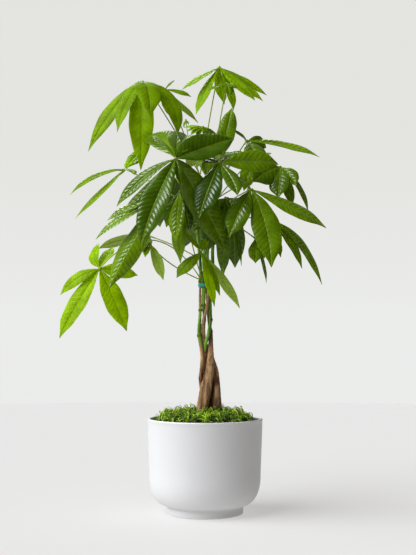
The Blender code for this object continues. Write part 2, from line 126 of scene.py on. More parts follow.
# A smooth path through points, by Catmull-Rom: each stretch is a cubic whose slope at a point is
# half the step between its neighbours.
def smoothPath(points, steps):
    points = np.asarray(points, float)
    knots = np.concatenate([points[:1], points, points[-1:]])
    t = (np.arange(steps) / steps)[None, :, None]
    p0, p1, p2, p3 = (knots[i:len(knots) - 3 + i, None] for i in range(4))
    path = 0.5 * (2 * p1 + (p2 - p0) * t + (2 * p0 - 5 * p1 + 4 * p2 - p3) * t ** 2
                  + (3 * p1 - p0 - 3 * p2 + p3) * t ** 3)
    return np.concatenate([path.reshape(-1, points.shape[1]), points[-1:]])


# A round tube: the path plus radius times (cos, sin) of the angle along two directions square to it,
# which turn as little as the path allows when the reference direction is far from the path's own.
def tubeGrid(path, radius, sides, reference=(0.13, 0.99, 0.05)):
    tangent = unit(np.gradient(path, axis=0))
    side = unit(np.cross(tangent, reference))
    above = np.cross(side, tangent)
    angle = np.arange(sides) / sides * 2 * math.pi
    ring = np.cos(angle)[None, :, None] * side[:, None] + np.sin(angle)[None, :, None] * above[:, None]
    if radius.ndim == 1:  # the same all the way round
        radius = radius[:, None]
    return path[:, None] + ring * radius[..., None]


# materials
# A short way to lay out a material's nodes.
class Nodes:
    def __init__(self, name):
        self.material = bpy.data.materials.new(name)
        self.material.use_nodes = True
        self.tree = self.material.node_tree
        self.shader = self.tree.nodes["Principled BSDF"]

    def feed(self, socket, value):
        if isinstance(value, bpy.types.NodeSocket):
            self.tree.links.new(value, socket)
        elif isinstance(value, tuple) and len(value) == 3 and socket.type == "RGBA":
            socket.default_value = (*value, 1)
        else:
            socket.default_value = value

    def add(self, kind, out=0, settings=None, **inputs):
        node = self.tree.nodes.new(kind)
        for key, value in (settings or {}).items():
            setattr(node, key, value)
        for key, value in inputs.items():  # i0, i1 and so on are input numbers, the rest are names
            self.feed(node.inputs[int(key[1:]) if key[1:].isdigit() else key], value)
        return node.outputs[out]

    def attribute(self, name):
        return self.add("ShaderNodeAttribute", "Fac", {"attribute_name": name})

    def place(self, scale=(1, 1, 1)):
        here = self.add("ShaderNodeTexCoord", "Object")
        return self.add("ShaderNodeMapping", Vector=here, Scale=scale)

    def noise(self, scale, detail=3, where=None, roughness=0.5):
        return self.add("ShaderNodeTexNoise", "Fac", Vector=where or self.place(), Scale=scale,
                        Detail=detail, Roughness=roughness)

    def maths(self, operation, a, b=0.5, c=0.5):
        return self.add("ShaderNodeMath", settings={"operation": operation}, i0=a, i1=b, i2=c)

    def span(self, value, low, high, toLow=0.0, toHigh=1.0):
        return self.add("ShaderNodeMapRange", settings={"interpolation_type": "SMOOTHSTEP"}, i0=value,
                        i1=low, i2=high, i3=toLow, i4=toHigh)

    def mix(self, share, a, b, blend="MIX"):
        kind = {"data_type": "RGBA", "blend_type": blend}
        return self.add("ShaderNodeMix", 2, kind, i0=share, i6=a, i7=b)

    def shade(self, colour, factor):
        grey = self.add("ShaderNodeCombineColor", "Color", Red=factor, Green=factor, Blue=factor)
        return self.mix(1.0, colour, grey, "MULTIPLY")

    def bump(self, height, strength, distance):
        return self.add("ShaderNodeBump", Height=height, Strength=strength, Distance=distance)

    def finish(self, colour, roughness, normal=None):
        self.feed(self.shader.inputs["Base Color"], colour)
        self.feed(self.shader.inputs["Roughness"], roughness)
        if normal:
            self.feed(self.shader.inputs["Normal"], normal)

    def letThrough(self, share, colour):  # thin growth glows when lit from the far side
        light = self.add("ShaderNodeBsdfTranslucent", "BSDF", Color=colour)
        both = self.add("ShaderNodeMixShader", "Shader", Fac=share, i1=self.shader.outputs[0], i2=light)
        self.feed(self.tree.nodes["Material Output"].inputs["Surface"], both)


# The same colour, paler or darker.
def times(colour, factor):
    return tuple(part * factor for part in colour)


# pot
potValues = {
    "height": 0.134, "rimRadius": 0.0825, "kneeRadius": 0.0796, "kneeHeight": 0.058,
    "footRadius": 0.0545, "footHeight": 0.012, "wall": 0.0046, "floor": 0.016, "turns": 160,
    "white": (0.690, 0.690, 0.690), "speck": (0.45, 0.42, 0.38), "damp": (0.20, 0.195, 0.185),
    "roughness": 0.42,
}


# The outer radius: straight above the knee, below it a quarter of a flattened ellipse down to the foot.
def potRadius(z):
    v = potValues
    wall = v["kneeRadius"] + (v["rimRadius"] - v["kneeRadius"]) * np.clip(
        (z - v["kneeHeight"]) / (v["height"] - v["kneeHeight"]), 0, 1)
    down = np.clip((v["kneeHeight"] - z) / (v["kneeHeight"] - v["footHeight"]), 0, 1)
    return v["footRadius"] + (wall - v["footRadius"]) * np.sqrt(1 - down ** 2.6)


# The profile (radius, height) goes up the inside, round the rim, down the outside and under the foot.
# Its last column is 1 inside, where the glaze is darkened as painted shade.
def potProfile():
    v = potValues
    floor, foot, half = v["floor"], v["footRadius"], v["wall"] / 2
    curve = (1 - np.cos(np.linspace(0, 1, 26) * math.pi / 2)) ** 1.3
    low = v["footHeight"] + (v["kneeHeight"] - v["footHeight"]) * curve
    outer = np.concatenate([low, np.linspace(v["kneeHeight"], v["height"] - 0.002, 12)[1:]])
    inner = outer[outer > floor + 0.006]
    lip = np.linspace(0, math.pi, 13)
    rim = potRadius(v["height"]) - half
    parts = [
        np.array([[0.0004, floor], [0.020, floor], [0.046, floor], [0.050, floor + 0.001]]),
        np.stack([potRadius(inner) - v["wall"], inner], 1),
        np.stack([rim - half * np.cos(lip), v["height"] - 0.0018 + 0.0018 * np.sin(lip)], 1),
        np.stack([potRadius(outer[::-1]), outer[::-1]], 1),
        np.array([[foot, 0.007], [foot, 0.0012], [foot - 0.0004, 0.0004], [foot - 0.0014, 0],
                  [foot - 0.005, 0], [foot - 0.0065, 0.0012], [0.030, 0.0016], [0.0004, 0.0016]]),
    ]
    profile = np.concatenate(parts)
    damp = np.arange(len(profile)) < len(parts[0]) + len(inner)
    return np.column_stack([profile, damp])


def whiteGlaze():
    v = potValues
    n = Nodes("matteWhiteGlaze")
    cloud = n.noise(9, 2)
    grain = n.noise(900, 2)
    tint = n.mix(n.span(cloud, 0.3, 0.7), times(v["white"], 0.965), v["white"])
    speck = n.span(n.noise(420, 1), 0.73, 0.80)
    tint = n.mix(n.maths("MULTIPLY", speck, 0.12), tint, v["speck"])
    # Inside the pot the glaze takes the darker colour: painted shade in the recess.
    n.finish(n.mix(n.attribute("damp"), tint, v["damp"]),
             n.span(cloud, 0.3, 0.7, v["roughness"], v["roughness"] + 0.08), n.bump(grain, 0.12, 0.0002))
    return n.material


# Each point of the profile is carried round the Z axis.
def makePot():
    profile = potProfile()
    angle = np.arange(potValues["turns"]) / potValues["turns"] * 2 * math.pi
    radius, height, damp = profile[:, :1], profile[:, 1:2], profile[:, 2:]
    grid = np.stack([radius * np.cos(angle), radius * np.sin(angle), height + 0 * angle], -1)
    shape = newShape()
    addSkin(shape, grid, {"damp": damp})
    standFor(makePiece("glazedPot", shape, [whiteGlaze()]), "pot")


# soil
soilValues = {"grain": 380, "dark": (0.010, 0.006, 0.004), "pale": (0.075, 0.047, 0.028)}


# The soil keeps its CAD shape, which the moss hides, and gets a crumbly finish.
def finishSoil():
    v = soilValues
    n = Nodes("dampPottingMix")
    lumps = n.noise(v["grain"] * 0.3, 5)
    grain = n.noise(v["grain"], 4)
    n.finish(n.mix(n.span(grain, 0.35, 0.75), v["dark"], v["pale"]), n.span(lumps, 0.3, 0.7, 0.75, 0.98),
             n.bump(n.maths("ADD", lumps, grain), 0.9, 0.002))
    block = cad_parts["soil"]
    block.data.materials.clear()
    block.data.materials.append(n.material)


# moss
mossValues = {
    "seed": 5, "strands": 2500, "loose": 420, "radius": 0.0722, "base": 0.1145, "edge": 0.0150,
    "crown": 0.0128, "lump": 0.0026, "thickness": 0.00070, "steps": 10,
    "shadow": (0.006, 0.014, 0.001), "green": (0.150, 0.340, 0.002), "lit": (0.640, 0.880, 0.015),
    "dry": (0.330, 0.250, 0.050),
}


# Lumps of the moss, from -1 to 1: the product of two waves, plus a finer slanting one.
def mossLumps(x, y):
    broad = np.sin(x * 300 + 1 + 40 * y) * np.sin(y * 260 + 2 - 50 * x)
    return 0.7 * broad + 0.3 * np.sin(x * 620 + y * 410)


# Height of the moss: a flat mat that drops steeply at its edge, with lumps.
def mossHeight(x, y):
    v = mossValues
    share = np.clip(np.hypot(x, y) / v["radius"], 0, 1)
    dome = v["crown"] * (1 - share ** 5)
    return v["base"] + v["edge"] + dome + v["lump"] * mossLumps(x, y) * (1 - share ** 8)


# The mat under the strands: rings from the middle out along the top, and back in underneath.
def addMossMat(shape):
    v = mossValues
    rings, cols = 20, 72
    share = np.linspace(0.02, 1, rings)[:, None]
    angle = np.arange(cols) / cols * 2 * math.pi
    x, y = share * v["radius"] * np.cos(angle), share * v["radius"] * np.sin(angle)
    top = np.stack([x, y, mossHeight(x, y) - 0.0025 * (1 - share ** 8)], -1)
    under = np.stack([x[::-1], y[::-1], np.full_like(x, v["base"])], -1)
    # A shade of 0 gives the mat the ramp's shadow colour: painted shade under the strands.
    addSkin(shape, np.concatenate([top, under]), {"shade": 0.0, "dry": 0.0})


# A strand starts on the mat, sets out in its own direction and curls: its heading turns steadily in
# plan while it rises and falls like half a wave. Its radius tapers to the tip.
def addMossStrands(shape):
    v = mossValues
    rng = np.random.default_rng(v["seed"])
    count = v["strands"] + v["loose"]
    loose = np.arange(count) >= v["strands"]
    reach = np.sqrt(rng.random(count)) * np.where(loose, 0.95, 0.99)
    turn = rng.random(count) * 2 * math.pi
    x, y = reach * v["radius"] * np.cos(turn), reach * v["radius"] * np.sin(turn)
    length = rng.uniform(0.007, 0.017, count) * np.where(loose, 1.3, 1)
    heading = rng.random(count) * 2 * math.pi
    curl = rng.normal(0, 1, count) * np.where(loose, 2.2, 2.8)
    rise = np.where(loose, rng.uniform(0.002, 0.011, count), rng.uniform(0.0003, 0.0032, count))
    s = np.linspace(0, 1, v["steps"])
    way = heading[:, None] + curl[:, None] * s
    step = (length / v["steps"] * np.where(loose, 0.7, 1))[:, None]
    px = x[:, None] + np.cumsum(np.cos(way) * step, 1)
    py = y[:, None] + np.cumsum(np.sin(way) * step, 1)
    hold = np.minimum(1, (v["radius"] + 0.0014) / np.maximum(np.hypot(px, py), 1e-6))  # inside the rim
    px, py = px * hold, py * hold
    lift = rise[:, None] * np.sin(s * math.pi * rng.uniform(0.55, 1.15, (count, 1)))
    pz = mossHeight(px, py) - 0.0008 + lift + 0.0008 * rng.normal(0, 1, (count, 1))
    path = np.stack([px, py, pz], -1)
    tangent = unit(np.gradient(path, axis=1))
    side = unit(np.cross(tangent, [0.1, 0.05, 1.0]))
    above = np.cross(side, tangent)
    ring = np.arange(3) / 3 * 2 * math.pi
    thick = v["thickness"] * rng.uniform(0.7, 1.3, (count, 1)) * (1 - 0.7 * s ** 2)
    grid = path[:, :, None] + thick[..., None, None] * (
        np.cos(ring)[:, None] * side[:, :, None] + np.sin(ring)[:, None] * above[:, :, None])
    # Besides a random share per strand, shade is painted light: a strand is lighter the higher it stands
    # above the mat, towards its tip and on top of a lump, and darker down in the dips.
    shade = rng.beta(0.8, 0.9, count)[:, None] * (0.6 + 0.5 * s) + (pz - mossHeight(px, py)) * 50
    shade = np.clip(shade + 0.28 * mossLumps(px, py) - 0.05, 0, 1)
    dry = (rng.random(count) < 0.08).astype(float)
    for i in range(count):
        addSkin(shape, grid[i], {"shade": shade[i][:, None], "dry": dry[i]})


def mossGreen():
    v = mossValues
    n = Nodes("mossStrands")
    tone = n.add("ShaderNodeValToRGB", "Color", Fac=n.attribute("shade"))
    ramp = tone.node.color_ramp
    ramp.elements[0].color = (*v["shadow"], 1)
    ramp.elements[1].color = (*v["lit"], 1)
    ramp.elements.new(0.5).color = (*v["green"], 1)
    tone = n.shade(tone, n.span(n.noise(60, 2), 0.35, 0.7, 0.8, 1.2))
    tone = n.mix(n.maths("MULTIPLY", n.attribute("dry"), 0.6), tone, v["dry"])
    n.finish(tone, n.span(n.noise(500, 2), 0.3, 0.7, 0.55, 0.85))
    n.letThrough(0.25, tone)
    return n.material


def makeMoss():
    shape = newShape()
    addMossMat(shape)
    addMossStrands(shape)
    standFor(makePiece("mossCover", shape, [mossGreen()]), "moss")


# stems
stemValues = {
    "seed": 11, "sides": 22, "steps": 9, "foot": 0.108, "ridge": 0.0003025, "nodeSwell": 0.0009,
    "bark": (0.105, 0.045, 0.015), "tan": (0.540, 0.320, 0.135), "crack": (0.030, 0.012, 0.005),
    "green": (0.045, 0.150, 0.006), "greenLit": (0.200, 0.430, 0.020), "scar": (0.130, 0.030, 0.012),
    "cutWood": (0.62, 0.46, 0.26),
}
# Each stem: (x, y, z, radius) up its middle line. The last one ends in a cut.
stems = {
    "stem_centre": [
        (0, -9, 94, 5), (0, -9, 146, 5), (1.6, -9, 164, 6), (3.3, -8, 178, 6.8), (5, -6.8, 191, 6.8),
        (6.6, -5, 201, 6.4), (7.6, -3.5, 211, 5.6), (8, -2, 224, 4.6), (8.1, -1, 236, 3.8),
        (8.2, 1, 253, 3), (6.6, 3.6, 268, 2.6), (4.5, 5.5, 289, 2.4), (3, 5.5, 318, 2.3),
        (3, 5.6, 334, 2.3), (3, 12, 354, 2.5), (4, 17, 391, 2.7), (7, 18, 431, 2.6), (8, 17, 468, 2.1),
    ],
    "stem_left": [
        (-6.5, 0, 94, 5.3), (-6.5, 0, 146, 5.3), (-4.5, 1, 164, 4.8), (-2.5, 2.5, 178, 4.4),
        (1, 4.5, 191, 3.5), (1.2, 6, 201, 3.1), (0.8, 4.5, 211, 2.8), (0.2, 2, 224, 2.7),
        (0.3, -1.2, 236, 2.6), (1.8, -4.2, 244, 2.5), (4.5, -5.2, 253, 2.4), (6.5, -4.5, 264, 2.4),
        (7.8, -3, 273, 2.6), (7.6, -1.2, 288, 2.4), (7.4, 0.2, 306, 2.3), (7.1, 1.3, 321, 2.2),
        (7.2, 1.4, 334, 2.2), (11, 3, 352, 2.4), (11, 4, 376, 2.5), (13, 4, 416, 2.5), (15, 3, 455, 2.1),
    ],
    "stem_right": [
        (17, -5, 94, 7), (17, -5, 146, 7), (16.5, -4, 164, 6.6), (16.2, -1.5, 178, 6),
        (15.3, 2.3, 191, 5.5), (14, 5.5, 201, 5.2), (11.5, 7, 211, 4.7), (8, 8, 222, 4.1),
        (4, 7.8, 232, 3.5), (0.5, 5.4, 240, 3.1), (-1.4, 2.7, 248, 2.7), (-2, 0.5, 260, 2.4),
        (-2.2, -1.2, 275, 2.2), (2.2, -2.9, 290, 2.1), (3.6, -3.1, 304, 2), (4.6, -3, 321, 2),
        (-0.5, 2.5, 346, 2.3), (0, 3, 376, 2.5), (2, 3, 416, 2.5), (5, 0, 474, 2.1),
    ],
    "stem_back_left": [
        (-1, 10.5, 94, 4.8), (-1, 10.5, 146, 4.8), (-2, 11, 164, 4.5), (-4.2, 11.6, 178, 4),
        (-5.9, 8.4, 191, 3.4), (-5.2, 2.8, 201, 2.8), (-4.3, -1, 211, 2.6), (-4.1, -2.4, 224, 2.6),
        (-5.4, -2, 236, 2.7), (-8, -1.2, 250, 2.7), (-8.4, -0.5, 262, 2.6), (-7.5, 0, 276, 2.3),
        (-6.9, 0.3, 290, 2.1), (-7.2, 0.2, 305, 1.9), (-7, 0.6, 322, 1.8), (-7.2, 2.4, 332, 1.9),
        (-6.4, 7, 348, 2.2), (-9, 12, 381, 2.4), (-12, 13, 416, 2.5), (-14, 11, 451, 2.3),
        (-14, 10, 468, 2),
    ],
    "stem_back_right": [
        (9.8, 10.5, 94, 5), (9.8, 10.5, 146, 5), (8.6, 11, 164, 4.7), (6.6, 12, 178, 4.3),
        (6, 13, 191, 4), (6, 14, 201, 3.8), (4.5, 14.5, 211, 3.6), (1.5, 14.4, 222, 3.3),
        (-2.2, 13, 232, 3.1), (-4.6, 10.4, 240, 2.9), (-4.7, 8, 248, 2.8), (-3.6, 6.6, 260, 2.7),
        (-1, 5, 275, 2.6), (-1.5, 3.2, 290, 2.6), (-2.4, 0.6, 305, 2.7), (-1.7, 0.2, 322, 2.9),
        (-5.5, -2, 345, 2.9),
    ],
}
# Heights of the leaf scars on each stem, where it turns from bark to green, and its stretch of tan bark.
stemMarks = {
    "stem_centre": {"scars": (210, 258, 306, 348, 388, 426, 456), "green": (326, 346)},
    "stem_left": {"scars": (229, 275, 314, 352, 394, 432), "green": (230, 234)},
    "stem_right": {"scars": (222, 268, 308, 341, 384, 426, 460), "green": (334, 358), "tan": (221, 328)},
    "stem_back_left": {"scars": (252, 289, 330, 368, 406, 442), "green": (239, 246), "tan": (292, 326)},
    "stem_back_right": {"scars": (228, 264, 296, 323), "green": (248, 276)},
}


def stemBark():
    v = stemValues
    n = Nodes("stemBark")
    stretched = n.place((1, 1, 0.22))
    grain = n.noise(520, 4, stretched, 0.65)
    broad = n.noise(120, 3, stretched)
    cracks = n.span(n.noise(300, 5, stretched, 0.7), 0.56, 0.66)
    bark = n.mix(n.span(broad, 0.40, 0.72), v["bark"], v["tan"])
    bark = n.mix(n.maths("MULTIPLY", cracks, 0.75), bark, v["crack"])
    bark = n.mix(n.maths("MULTIPLY", n.attribute("tan"), 0.65), bark, v["tan"])
    green = n.mix(n.span(broad, 0.35, 0.65), v["green"], v["greenLit"])
    tone = n.mix(n.attribute("green"), bark, green)
    tone = n.mix(n.attribute("scar"), tone, v["scar"])
    tone = n.mix(n.attribute("cut"), tone, v["cutWood"])
    height = n.maths("SUBTRACT", n.maths("MULTIPLY", grain, 0.6), cracks)
    soften = n.maths("MULTIPLY_ADD", n.attribute("green"), -0.8, 1.0)
    n.finish(tone, n.maths("MULTIPLY_ADD", n.attribute("green"), -0.28, 0.74),
             n.bump(n.maths("MULTIPLY", height, soften), 0.7, 0.0006))
    return n.material


# The middle line and radius of a stem, ending in a flat cut or a blunt growing tip.
def stemLine(name, cut):
    v = stemValues
    path = smoothPath(np.array(stems[name]) * mm, v["steps"])
    path = path[path[:, 2] > v["foot"]]
    line, radius = path[:, :3], path[:, 3]
    if cut:
        return np.concatenate([line, line[-1:] + [[0, 0, 0.00002]]]), np.append(radius, radius[-1] * 0.86)
    tip = np.linspace(0, 1, 7)[1:]
    ahead = unit(line[-1] - line[-2])
    line = np.concatenate([line, line[-1] + ahead * tip[:, None] * 0.004])
    return line, np.concatenate([radius, radius[-1] * np.sqrt(1 - (tip * 0.97) ** 2)])


# Each stem is a tube along its smooth path. Its radius swells at a leaf scar by a narrow bell, and low
# down it is rippled by waves round the stem that drift with height, as bark is.
def makeStems():
    v = stemValues
    bark = stemBark()
    rng = np.random.default_rng(v["seed"])
    angle = np.arange(v["sides"]) / v["sides"] * 2 * math.pi
    for name, marks in stemMarks.items():
        isCut = name == "stem_back_right"
        line, radius = stemLine(name, isCut)
        z = line[:, 2]
        scar = np.zeros(len(z))
        for mark in marks["scars"]:
            radius = radius + v["nodeSwell"] * np.exp(-((z - mark * mm) / 0.0021) ** 2)
            scar = np.maximum(scar, np.exp(-((z - mark * mm) / 0.0016) ** 2))
        low = 1 - ease(z, 0.166, 0.266)
        phase = rng.random(3) * 6
        waves = (np.sin(3 * angle[None] + phase[0] + z[:, None] * 45)
                 + 0.7 * np.sin(7 * angle[None] + phase[1] - z[:, None] * 80)
                 + 0.5 * np.sin(11 * angle[None] + phase[2] + z[:, None] * 150))
        ripple = v["ridge"] * low[:, None] * waves + 0.00012 * np.sin(z[:, None] * 900)
        grid = tubeGrid(line, radius[:, None] + ripple, v["sides"])
        start, end = marks["green"]
        tanFrom, tanTo = marks.get("tan", (0, 0))
        tan = ease(z, tanFrom * mm, tanFrom * mm + 0.006) * (1 - ease(z, tanTo * mm, tanTo * mm + 0.01))
        green = ease(z, start * mm, end * mm) * (1 - tan)
        cut = np.zeros(len(z))
        cut[-1] = isCut
        shape = newShape()
        addSkin(shape, grid, {"green": green[:, None], "tan": tan[:, None], "cut": cut[:, None],
                              "scar": (scar * (0.5 + 0.4 * green))[:, None]})
        standFor(makePiece(name.replace("stem", "bark"), shape, [bark]), name)


# tie
tieValues = {
    "height": 0.3248, "band": 0.0028, "thickness": 0.00045, "centre": (0.0008, 0.0015),
    "halfWidths": (0.0100, 0.0081), "tail": 0.011,
    "teal": (0.004, 0.400, 0.330), "tealLit": (0.02, 0.55, 0.46),
}


def tealTape():
    v = tieValues
    n = Nodes("tealTape")
    ribs = n.add("ShaderNodeTexWave", "Fac", {"bands_direction": "Z"}, Vector=n.place(), Scale=260.0)
    n.finish(n.mix(n.maths("MULTIPLY", ribs, 0.25), v["teal"], v["tealLit"]),
             n.span(n.noise(300, 2), 0.3, 0.7, 0.35, 0.5), n.bump(ribs, 0.3, 0.0001))
    return n.material


# A tape goes round the stems twice in a rising loop, pressed in between them, and ends in a short
# twisted tail. Its cross-section is a flat rounded bar, carried along that line.
def makeTie():
    v = tieValues
    turns = np.linspace(0.12, 2.08, 150) * 2 * math.pi
    dent = 1 - 0.035 * np.cos(5 * turns + 0.6)
    lift = (turns / (2 * math.pi) - 1.1) * 0.0012
    around = np.stack([dent * np.cos(turns), dent * np.sin(turns)], 1) * v["halfWidths"] + v["centre"]
    loop = np.column_stack([around, v["height"] + lift])
    out = unit(np.stack([np.cos(turns), np.sin(turns), turns * 0], 1))
    loop += out * (0.0006 * turns / turns[-1])[:, None]
    tail = np.linspace(0, 1, 20)[1:]
    ahead = unit(loop[-1] - loop[-2])
    swing = out[-1] * 0.55 + ahead * 0.6 + np.array([0, 0, 0.45])
    loop = np.concatenate([loop, loop[-1] + tail[:, None] * v["tail"] * unit(swing)])
    out = np.concatenate([out, np.repeat(out[-1:], len(tail), 0)])
    tangent = unit(np.gradient(loop, axis=0))
    across = unit(np.cross(tangent, out))
    turn = np.concatenate([np.zeros(len(turns)), tail * 1.8])[:, None]
    across, out = (across * np.cos(turn) + out * np.sin(turn), out * np.cos(turn) - across * np.sin(turn))
    angle = np.arange(16) / 16 * 2 * math.pi
    flat = np.sign(np.cos(angle)) * np.abs(np.cos(angle)) ** 0.5 * v["band"] / 2
    deep = np.sign(np.sin(angle)) * np.abs(np.sin(angle)) ** 0.7 * v["thickness"] / 2
    grid = loop[:, None] + flat[None, :, None] * across[:, None] + deep[None, :, None] * out[:, None]
    shape = newShape()
    addSkin(shape, grid, {})
    standFor(makePiece("tapeTie", shape, [tealTape()]), "tie")


# leaves
leafValues = {
    "rowStep": 0.0013, "veinStep": 0.0076, "veinLean": 0.62, "quilt": 0.00080, "thickness": 0.00036,
    "full": 1.15, "tipPower": 0.88, "petiole": 0.00085, "hub": 0.0019, "arch": 0.05, "seed": 21,
    "small": {"leaf_bud": 0.6, "leaf_young": 0.75},
    # roughness, specular level and the share of light that goes through
    "youngBlade": (0.46, 0.10, 0.50), "grownBlade": (0.25, 0.28, 0.24),
    "darkTop": (0.040, 0.103, 0.001), "brightTop": (0.325, 0.555, 0.001),
    "darkUnder": (0.088, 0.165, 0.012), "brightUnder": (0.380, 0.520, 0.090),
    "midrib": (0.280, 0.400, 0.015), "stalk": (0.270, 0.380, 0.010), "stalkAged": (0.100, 0.090, 0.015),
}
